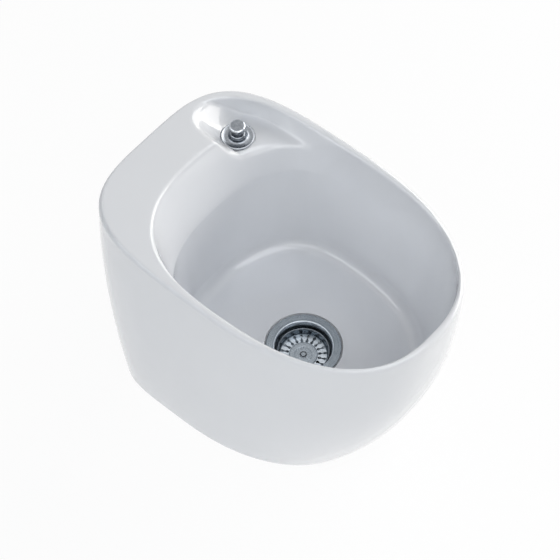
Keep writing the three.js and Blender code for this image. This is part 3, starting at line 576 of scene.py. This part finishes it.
# height of the shelf's hollow over a point: flat at its foot, and rising as a superellipse's outline nears
def shelfHeight(x, y, foot, growth=0.0, rim=True):
    n, flat = shelf["squareness"], 1 - shelf["slope"] / shelf["reach"][0]
    half = [np.abs(v - c) / (r + growth) for v, c, r in zip((x, y), shelf["centre"], shelf["reach"])]
    share = (half[0] ** n + half[1] ** n) ** (1 / n)
    up = np.clip((share - flat) / (1 - flat), 0, shelf["slopeMost"])
    side = foot + shelf["depth"] * up ** shelf["slopePower"]
    if not rim:
        return side
    # the rim wall climbs from its squarer foot to its top edge, along the ray from the middle
    angle = np.arctan2(y, x)
    line = outerWall(angle, shell["rimHeight"], shelf["wallTop"])
    edge = np.hypot(line[..., 0], line[..., 1])
    rimFoot = reach(angle, shelf["footSide"], shelf["footBack"], shelf["footBack"],
                    shelf["footSquareness"], shell["rimSquareness"][1])
    rimFoot = np.minimum(rimFoot, edge - shelf["wallLeast"])
    up = np.clip((np.hypot(x, y) - rimFoot) / (edge - rimFoot), 0, shelf["wallMost"])
    return softMost(side, foot + shelf["depth"] * up ** shelf["wallPower"], shelf["corner"])


# each column's points moved to even spacing along it, after a Gaussian mean along the column has rounded its
# corners; blur is the mean's width in millimetres, for all points or for each
def evenRows(points, rows, blur, fine=400):
    def spaced(p, count):
        step = np.linalg.norm(np.diff(p, axis=0), axis=-1)
        run = np.concatenate([np.zeros((1, p.shape[1])), np.cumsum(step, 0)])
        share = run / run[-1]
        t = np.linspace(0, 1, count)
        even = [[np.interp(t, share[:, c], p[:, c, k]) for k in range(p.shape[2])] for c in range(p.shape[1])]
        return np.transpose(even, (2, 0, 1)), run[-1]

    if np.ndim(blur):
        points = np.concatenate([points, np.broadcast_to(blur, points.shape[:2])[..., None]], -1)
    p, length = spaced(points, fine)
    p, blur = p[..., :3], p[..., 3] if np.ndim(blur) else blur
    if np.ndim(blur) or blur:
        pad = 60  # the mean reaches this many samples to each side; past its ends the column runs straight on
        first = p[:1] + (p[:1] - p[1:2]) * np.arange(pad, 0, -1)[:, None, None]
        last = p[-1:] + (p[-1:] - p[-2:-1]) * np.arange(1, pad + 1)[:, None, None]
        long = np.concatenate([first, p, last])
        sigma = np.clip(blur / (length / fine), 0.3, 20.0)  # samples, for each point
        total, weights = np.zeros_like(p), np.zeros(p.shape[:2])
        for k in range(-pad, pad + 1):
            w = np.exp(-0.5 * (k / sigma) ** 2) * np.ones(p.shape[:2])
            total += long[pad + k:pad + k + fine] * w[..., None]
            weights += w
        mean = total / weights[..., None]
        mean[0], mean[-1] = p[0], p[-1]
        p = mean
    return spaced(p, rows)[0]


# directions of the columns, closer together where the shelf is
def columnAngles():
    a = np.linspace(0, tau, 4001)
    bell = np.exp(-((np.degrees(a) - bodyGrid["shelfTurn"]) / bodyGrid["shelfSpread"]) ** 4)
    density = 1 + bodyGrid["shelfColumns"] * bell
    run = np.concatenate([[0], np.cumsum((density[1:] + density[:-1]) / 2)])
    return np.interp(np.arange(bodyGrid["columns"]) / bodyGrid["columns"], run / run[-1], a)


# the shoulder: its share outwards is the share upwards to a power, so it turns out of the upright wall and
# then leans on almost straight; gives height, share outwards and lean
def shoulderLine(steps):
    up, curve = np.linspace(0, 1, steps) ** 1.5, bowl["shoulderCurve"]
    slope = (bowl["deckEdge"] - bowl["back"]) * curve * up ** (curve - 1)
    height = shoulderFoot + bowl["shoulderDepth"] * up
    return np.stack([height, up ** curve, np.arctan2(slope, bowl["shoulderDepth"])], -1)


# bowl from the drain hole up to just under the shoulder
def bowlRows(a):
    hole, seat, floor = bowl["drainHole"], bowl["seat"], bowl["floorHeight"]
    holeEdge, seatEdge = bowl["holeEdge"], bowl["seatEdge"]
    recess = [(hole, underZ), (hole, seatZ - holeEdge), (hole + holeEdge, seatZ), (seat - seatEdge, seatZ),
              (seat, seatZ + seatEdge), (seat, floor - 1), (seat + seatEdge, floor - seatEdge)]
    rows = [drainRing(a, radius, z) for radius, z in recess]
    inner, outer = drainRing(a, seat, floor), bowlWall(a, wallFoot, -bowl["fillet"])
    for t in np.linspace(0.02, 1, 12):
        row = mix(inner, outer, t)
        row[:, 2] = floor + bowl["floorRise"] * t ** bowl["floorPower"]
        rows.append(row)
    for lean in np.linspace(0, math.pi / 2, 13)[1:]:
        z = wallFoot + bowl["fillet"] * (1 - math.cos(lean))
        rows.append(bowlWall(a, z, bowl["fillet"] * (math.sin(lean) - 1)))
    for t in np.linspace(0, 1, 18)[1:]:
        rows.append(bowlWall(a, mix(wallFoot + bowl["fillet"], shoulderFoot - bodyGrid["lead"], t)))
    return np.array(rows)


# shoulder, deck and rim as one line for each column, let down where the shelf is
def topRows(a):
    rows = [bowlWall(a, z) for z in np.linspace(shoulderFoot - bodyGrid["lead"], shoulderFoot, 20)[:-1]]
    rows += [bowlWall(a, z, 0, spread) for z, spread, lean in shoulderLine(90)]
    for t in np.linspace(0, 1, 14)[1:]:
        z = edgeZ + shell["edgeRound"] * math.sin(t * math.pi / 2)
        rows.append(bowlWall(a, edgeZ, shell["edgeReach"] * (1 - math.cos(t * math.pi / 2)), 1.0, z))
    inner = rows[-1]
    crown = outerWall(a, shell["rimHeight"], shell["crownInset"])
    rows += [mix(inner, crown, t) for t in np.linspace(0, 1, 150)[1:]]
    p = np.array(rows)
    # the shelf meets the deck in a crisp edge beside the knob, and in a soft scoop behind it
    ease = mix(shelf["deckEase"], shelf["scoopEase"], scoopShare(p[..., 1]))
    low = shelfHeight(p[..., 0], p[..., 1], shelfZ)
    cut = low < p[..., 2]
    p[..., 2] = softLeast(p[..., 2], low, ease)
    # and it meets the bowl in a wide round edge: those columns are blurred more near that edge
    edge = np.where(cut.any(0), cut.argmax(0), -1)
    place = p[np.clip(edge, 0, None), np.arange(p.shape[1])]
    near = np.linalg.norm(p - place, axis=-1)
    depth = shell["rimHeight"] - place[:, 2]
    deep = np.clip((depth - shelf["blurFrom"]) / shelf["blurDepth"], 0, 1) * (edge >= 0)
    blur = bodyGrid["ease"] + shelf["bowlBlur"] * deep * np.exp(-(near / shelf["blurReach"]) ** 2)
    p = evenRows(p, bodyGrid["topRows"], blur)
    # the rim rolls over to the outer wall along a quarter of a superellipse
    power, roll = 2 / shell["rollSquareness"], []
    below = outerWall(a, shell["rimHeight"] - shell["rollDepth"])
    for t in np.linspace(0, math.pi / 2, bodyGrid["rollRows"] + 1)[1:]:
        row = mix(crown, below, math.sin(t) ** power)
        row[:, 2] = shell["rimHeight"] - shell["rollDepth"] * (1 - math.cos(t) ** power)
        roll.append(row)
    return np.concatenate([p, np.array(roll)])


# outer wall down to the foot, its rounded edge and the foot's flat
def wallRows(a):
    top, margin = shell["rimHeight"] - shell["rollDepth"], 0.4
    inset, height = shell["footRound"]
    rows = [outerWall(a, z) for z in np.linspace(top, height, bodyGrid["wallRows"])[1:]]
    for t in np.linspace(0, math.pi / 2, 6)[1:]:
        rows.append(outerWall(a, height * (1 - math.sin(t)), inset * (1 - math.cos(t))))
    return np.array(rows + [outerWall(a, 0.0, inset + margin), outerWall(a, 0.0, shell["wall"] - margin)])


# the hollow: from its mouth up the inner wall, and back down the outside of the bowl to the drain
def hollowRows(a):
    wall, roof = shell["wall"], shell["rimHeight"] - shell["deckThickness"]
    rows = [drainRing(a, r, underZ) for r in np.linspace(bowl["drainHole"], bowl["seat"] + wall, 8)]
    under = wallFoot - bowl["floorThickness"]
    start = bowlWall(a, wallFoot, wall - bowl["fillet"], 0, under)
    rows += [mix(rows[-1], start, t) for t in np.linspace(0, 1, 20)[1:]]
    for lean in np.linspace(0, math.pi / 2, 30)[1:]:
        z = under + (bowl["fillet"] + wall) * (1 - math.cos(lean))
        rows.append(bowlWall(a, wallFoot, wall + bowl["fillet"] * (math.sin(lean) - 1), 0, z))
    foot = rows[-1][0, 2]
    rows += [bowlWall(a, z, wall) for z in np.linspace(foot, shoulderFoot, 90)[1:]]
    for z, spread, lean in shoulderLine(40)[1:]:
        rows.append(bowlWall(a, z, wall * math.cos(lean), spread, z - wall * math.sin(lean)))
    for t in (0.5, 1.0):
        rows.append(mix(rows[-1], bowlWall(a, edgeZ, wall, 1.0, roof), t))
    corner = outerWall(a, roof, 2 * wall)
    rows += [mix(rows[-1], corner, t) for t in np.linspace(0, 1, 60)[1:]]
    p = np.array(rows)
    p[..., 2] = np.minimum(p[..., 2], shelfHeight(p[..., 0], p[..., 1], shelfUnderZ, wall, False))
    # where the line would pass the inner wall it is held on it
    angle = np.broadcast_to(a, p.shape[:2])
    inner = outerWall(angle, p[..., 2], wall)
    past = np.hypot(p[..., 0], p[..., 1]) >= np.hypot(inner[..., 0], inner[..., 1])
    held = np.where(past.any(0), past.argmax(0), len(p) - 1)
    keep = np.minimum(np.arange(len(p))[:, None], held[None, :])
    p = np.take_along_axis(p, keep[..., None], 0)
    height = p[-1, :, 2]
    down = [outerWall(a, height * t, wall) for t in np.linspace(1, 0, 60)[1:]]
    line = np.concatenate([p, np.array(down)])[::-1]
    return evenRows(line, bodyGrid["hollowRows"], 0.0)[:-1]


def buildBody():
    a = columnAngles()
    points = np.concatenate([bowlRows(a), topRows(a)[1:], wallRows(a), hollowRows(a)])
    piece = gridPiece("ceramicSink", points, "glaze", "sink", ["sink_body"],
                      loop=True, turn=50.0)
    cutKnobHole(piece)


# the hole under the knob's ring and the ring's notch in the slope, cut with a plain drill
def cutKnobHole(piece):
    hole, notch = 14.0, 25.3  # radii
    under, foot, top = shelfUnderZ - 3, shelfZ + 0.05, shelfZ + 12
    profile = [[onAxis, under], [hole, under], [hole, foot], [notch, foot], [notch, top], [onAxis, top]]
    grid = turnedGrid(np.array(profile), knobCentre, 48)
    drill = gridPiece("drill", grid, "glaze", "sink", loop=True)
    cut = piece.modifiers.new("hole", "BOOLEAN")
    cut.object, cut.operation, cut.solver = drill, "DIFFERENCE", "EXACT"
    settle(piece)
    bpy.data.objects.remove(drill)


buildBody()
print("ceramic body built")

drain = {
    "flange": 55.5, "flangeTop": 95.4, "bore": 42.0, "floor": 60.0, "waterway": 18.6,
    "plateTop": 71.4, "plate": 35.1, "stemHole": 3.4, "basketSheet": 1.1, "basketEdge": 0.18, "slots": 20,
    "slotInner": 21.6, "slotOuter": 34.6, "slotWidth": 4.5, "slotWaist": 0.42, "slotMargin": 0.9,
    "wall": [(35.9, 0.8), (36.8, 10.6), (37.5, 12.1), (38.0, 12.2), (38.3, 11.3)],  # from the plate up
}
# turned pieces that lift out with the basket: profiles of (radius, height)
loose = {
    "basketCap": {
        "profile": [(0, 65.8), (3.0, 65.8), (3.0, 71.7), (20.6, 71.7), (20.6, 72.1), (19.9, 72.5),
                    (13.2, 72.4), (12.7, 72.15), (12.2, 72.4), (0, 72.5)],
        "ease": 0.2, "finish": "basketSteel", "slot": "brushed_steel", "node": "basket_cap",
    },
    "basketPlug": {
        "profile": [(0, 57.0), (15.4, 57.0), (16.4, 58.0), (16.4, 62.8), (22.5, 62.8), (22.5, 64.6),
                    (21.4, 65.5), (6.0, 65.5), (6.0, 67.3), (11.0, 67.3), (11.0, 70.0), (0, 70.0)],
        "ease": 0.3, "finish": "blackPlastic", "slot": "black_plastic", "node": "strainer_plug",
    },
    "plugSeal": {
        "profile": [(16.7, 60.3), (23.2, 60.3), (23.2, 62.5), (16.7, 62.5)],
        "ease": 0.5, "finish": "blackRubber", "slot": "black_rubber", "node": "plug_seal",
    },
}


def buildCup():
    flange, top, floor = drain["flange"], drain["flangeTop"], drain["floor"]
    bore, waterway = drain["bore"], drain["waterway"]
    foot = bore - 1.8
    over = [(flange, top - 1.1), (flange - 0.3, top - 0.45), (flange - 1.2, top - 0.15),
            (bore + 3.8, top - 0.35)]
    lip = [(bore + 2.6, top - 0.05), (bore + 1.2, top - 0.4), (bore + 0.2, top - 1.4), (bore, top - 2.8)]
    inside = [(foot, floor + 6), (foot - 1.7, floor + 1.5), (foot - 5, floor), (waterway + 0.8, floor)]
    outside = [(waterway, floor - 0.5), (waterway, floor - 1.2), (foot - 4.5, floor - 1.2),
               (foot - 0.8, floor + 0.3), (foot + 1.2, floor + 5.6), (bore + 1.2, top - 3),
               (bore + 2.2, top - 1.2)]
    turnedPiece("drainCup", over + lip + inside + outside, 0.25, "cupSteel", "sink",
                ["drain_cup"], drainCentre, sides=160)


# the basket as one thin sheet: rows run out from the middle, over the slots' ends and up the wall to the
# lip, and columns follow the slots' sides, at the angle whose sine is the slot's half width over the radius
def buildBasket():
    half, inner, outer = drain["slotWidth"] / 2, drain["slotInner"], drain["slotOuter"]
    slotColumns, slotRows, webColumns = 9, 9, 7
    offset = -half * np.cos(np.linspace(0, math.pi, slotColumns))
    bulge = np.sqrt(np.clip(half ** 2 - offset ** 2, 0, None))
    start = np.concatenate([inner + half - bulge, np.full(webColumns, inner + half)])
    end = np.concatenate([outer - half + bulge, np.full(webColumns, outer - half)])
    share = np.concatenate([np.zeros(slotColumns), np.arange(1, webColumns + 1) / (webColumns + 1)])
    across = np.concatenate([offset, np.zeros(webColumns)])
    one = np.ones(len(across))
    first = inner - drain["slotMargin"]
    radii = [mix(drain["stemHole"], first, t) * one for t in np.linspace(0, 1, 5)]
    radii += [mix(first, start, t) for t in (0.5, 1.0)]
    slotRow = len(radii) - 1
    radii += [mix(start, end, t) for t in np.linspace(0, 1, slotRows)[1:]]
    radii += [mix(end, drain["plate"], t) for t in (0.5, 1.0)]
    r = np.array(radii)
    # a slot is narrower between its two round ends
    waist = np.ones(len(r))
    narrowing = np.sin(np.linspace(0, math.pi, slotRows)) ** 1.8
    waist[slotRow:slotRow + slotRows] = 1 - (1 - drain["slotWaist"]) * narrowing
    side = np.arcsin(half * waist[:, None] / r)
    step = tau / drain["slots"]
    slotAngle = np.arcsin(np.clip(across * waist[:, None] / r, -1, 1))
    angle = np.where(np.arange(len(across)) < slotColumns, slotAngle, mix(side, step - side, share))
    centres = (np.arange(drain["slots"]) + 0.5) * step
    r = np.tile(r, drain["slots"])
    angle = np.concatenate([c + angle for c in centres], 1)
    z = np.full(r.shape, drain["plateTop"])
    last = angle[-1]
    # the wall's first and last corners only give direction to their neighbours, so their points are left out
    for radius, up in eased([(drain["plate"], 0.0), *drain["wall"]], 0.5)[5:-5]:
        r = np.vstack([r, np.full(len(last), radius)])
        z = np.vstack([z, np.full(len(last), drain["plateTop"] + up)])
        angle = np.vstack([angle, last])
    points = np.stack([drainCentre[0] + r * np.cos(angle), drainCentre[1] + r * np.sin(angle), z], -1)
    holes = np.zeros((len(points) - 1, points.shape[1]), bool)
    cut = np.tile(np.arange(len(across)) < slotColumns - 1, drain["slots"])
    holes[slotRow:slotRow + slotRows - 1, cut] = True
    piece = gridPiece("slottedBasket", points, "basketSteel", "basket", ["strainer_basket"],
                      holes=holes, turn=35.0)
    faceUp(piece)
    thick = piece.modifiers.new("thickness", "SOLIDIFY")
    thick.thickness, thick.offset = drain["basketSheet"] * mm, -1
    bevelEdges(piece, drain["basketEdge"], 50.0)
    settle(piece)
    smooth(piece.data, 50.0)


# a sheet whose middle faces down is turned over
def faceUp(piece):
    if piece.data.polygons[0].normal.z < 0:
        piece.data.flip_normals()


buildCup()
buildBasket()
for name, part in loose.items():
    turnedPiece(name, part["profile"], part["ease"], part["finish"], "basket", [part["node"]],
                drainCentre)
print("drain built")

# profiles of (radius, height), with heights from the top of the shelf
knob = {
    "knobRing": {
        "profile": [(10.4, 1.8), (24.3, 1.8), (24.3, 4.0), (23.7, 4.9), (22.6, 5.05), (21.7, 4.5),
                    (19.2, 3.9), (16.6, 3.9), (14.8, 4.3), (13.4, 5.3), (12.0, 5.8), (10.4, 5.8)],
        "ease": 0.45, "sides": 128, "finish": "ringChrome", "body": "sink", "node": "escutcheon",
    },
    "knobCollar": {
        "profile": [(4.3, 12.6), (4.3, -46.9), (9.0, -46.9), (10.0, -45.9), (10.0, 6.1), (12.0, 6.1),
                    (12.0, 7.6), (11.2, 8.1), (11.2, 9.0), (12.0, 9.5), (11.8, 11.2), (10.4, 12.6)],
        "ease": 0.35, "sides": 112, "finish": "collarChrome", "body": "sink", "node": "knob_guide",
    },
    "knobCap": {
        "profile": [(3.7, 12.9), (9.2, 12.9), (8.8, 15.5), (9.4, 17.6), (11.2, 19.6), (12.0, 21.8),
                    (12.0, 26.0), (11.0, 27.9), (9.4, 28.6), (onAxis, 29.0), (onAxis, 23.3), (3.7, 23.3)],
        "ease": 0.5, "sides": 128, "finish": "capChrome", "body": "knob", "node": "knob_cap",
    },
}
for name, part in knob.items():
    turnedPiece(name, part["profile"], part["ease"], part["finish"], part["body"], [part["node"]],
                knobCentre, shelfZ, part["sides"])
print("knob built")

# CAD nodes that keep their shape, with their finish and how far their edges are eased, in millimetres
kept = [
    ("flange_gasket", "blackRubber", 0.0), ("cup_gasket", "blackRubber", 0.0),
    ("under_gasket", "blackRubber", 0.3), ("tail_gasket", "blackRubber", 0.0),
    ("knob_gasket", "blackRubber", 0.0), ("deck_washer", "blackRubber", 0.4),
    ("shaft_seal", "blackRubber", 0.0), ("cup_screw_1", "drainSteel", 0.0),
    ("cup_screw_2", "drainSteel", 0.0), ("cup_screw_3", "drainSteel", 0.0),
    ("waste_body", "whitePlastic", 0.0), ("outlet_nut", "whitePlastic", 0.4),
    ("tail_pipe", "whitePlastic", 0.3), ("lift_pin", "drainSteel", 0.0),
    ("lift_lever", "blackPlastic", 0.0), ("lever_shaft", "shaftSteel", 0.0),
    ("crank_arm", "shaftSteel", 0.2), ("crank_screw", "shaftSteel", 0.0),
    ("shaft_gland", "shaftBrass", 0.2), ("wire_nipple", "wireBrass", 0.2), ("crank_wire", "wire", 0.0),
    ("cable_adjuster", "wireBrass", 0.2), ("adjuster_nut_1", "wireBrass", 0.3),
    ("adjuster_nut_2", "wireBrass", 0.3), ("cable_sheath", "sheath", 0.0), ("cable_core", "wire", 0.0),
    ("knob_spindle", "knobSteel", 0.0), ("knob_wire", "wire", 0.0), ("knob_nut", "knobBrass", 0.4),
    ("sheath_socket", "knobBrass", 0.2),
]
bodyOf = {node: body for body, nodes in frame["record"]["behaviour"]["bodies"].items() for node in nodes}
for node, material, edge in kept:
    smoothedNode(node, material, bodyOf[node], edge)
print("fittings dressed")

studio = {
    "paper": (0.90, 0.91, 0.92), "paperLight": (0.91, 0.92, 0.93), "floorWhite": 0.94,
    "floorHalf": 6.0, "floorTop": -0.0005,  # metres
    "aim": (0.0, 0.0, 0.2), "distance": 3.2, "size": 2.2,  # metres
    # softboxes: direction from +X towards +Y and height in degrees, watts, colour
    "lamps": {
        "right": (0, 35, 47.0, (1.0, 0.99, 0.97)), "low": (330, 20, 43.0, (1.0, 0.96, 0.9)),
        "back": (150, 35, 27.0, (0.93, 0.96, 1.0)), "left": (210, 35, 20.5, (0.98, 1.0, 1.0)),
        "front": (240, 20, 11.5, (1.0, 1.0, 1.0)), "above": (270, 60, 27.0, (0.93, 0.96, 1.0)),
    },
}


def addLamp(name):
    turn, rise, watts, colour = studio["lamps"][name]
    turn, rise = math.radians(turn), math.radians(rise)
    back = Vector((math.cos(turn) * math.cos(rise), math.sin(turn) * math.cos(rise), math.sin(rise)))
    lamp = bpy.data.objects.new(name, bpy.data.lights.new(name, "AREA"))
    lamp.data.shape, lamp.data.size = "SQUARE", studio["size"]
    lamp.data.energy, lamp.data.color = watts, colour
    lamp.location = Vector(studio["aim"]) + back * studio["distance"]
    lamp.rotation_euler = back.to_track_quat("Z", "Y").to_euler()
    bpy.context.scene.collection.objects.link(lamp)


# 1 for the rays that see the background: from the camera, or off gloss and through glass
def backgroundRays(shading):
    kinds = ("Camera", "Glossy", "Transmission")
    camera, glossy, through = (shading.add("LightPath", {}, {}, "Is %s Ray" % kind) for kind in kinds)
    return (camera + glossy + through).between(0.0, 1.0)


# pure white to see, and no light of its own on the object
def addWorld():
    world = Shading(bpy.data.worlds.new("studio"))
    bpy.context.scene.world = world.holder
    dark = world.add("Background", {}, {"Color": (0.0, 0.0, 0.0), "Strength": 0.0})
    white = world.add("Background", {}, {"Color": (1.0, 1.0, 1.0), "Strength": 1.0})
    mixed = world.add("MixShader", {}, {0: backgroundRays(world), 1: dark, 2: white})
    world.put(world.nodes["World Output"], {"Surface": mixed})


# a pale paper floor that looks nearly white, with the object's shadow kept on it
def addFloor():
    mesh = bpy.data.meshes.new("floor")
    half = studio["floorHalf"]
    corners = [(x * half, y * half, studio["floorTop"]) for x, y in ((-1, -1), (1, -1), (1, 1), (-1, 1))]
    mesh.from_pydata(corners, [], [(0, 1, 2, 3)])
    floor = bpy.data.objects.new("floor", mesh)
    bpy.context.scene.collection.objects.link(floor)
    m = finish("floorPaper", {"Roughness": 0.9})
    m.put(m.shader, {"Base Color": m.blend(m.noise(3.0), studio["paper"], studio["paperLight"])})
    glow = m.add("Emission", {}, {"Color": (1.0, 1.0, 1.0), "Strength": 1.0})
    paper = Wire(m, m.shader.outputs[0])
    seen = backgroundRays(m) * studio["floorWhite"]
    m.put(m.nodes["Material Output"], {"Surface": m.add("MixShader", {}, {0: seen, 1: paper, 2: glow})})
    mesh.materials.append(m.holder)


addWorld()
addFloor()
for lampName in studio["lamps"]:
    addLamp(lampName)
bpy.context.scene.view_settings.view_transform = "Standard"
print("studio lit")
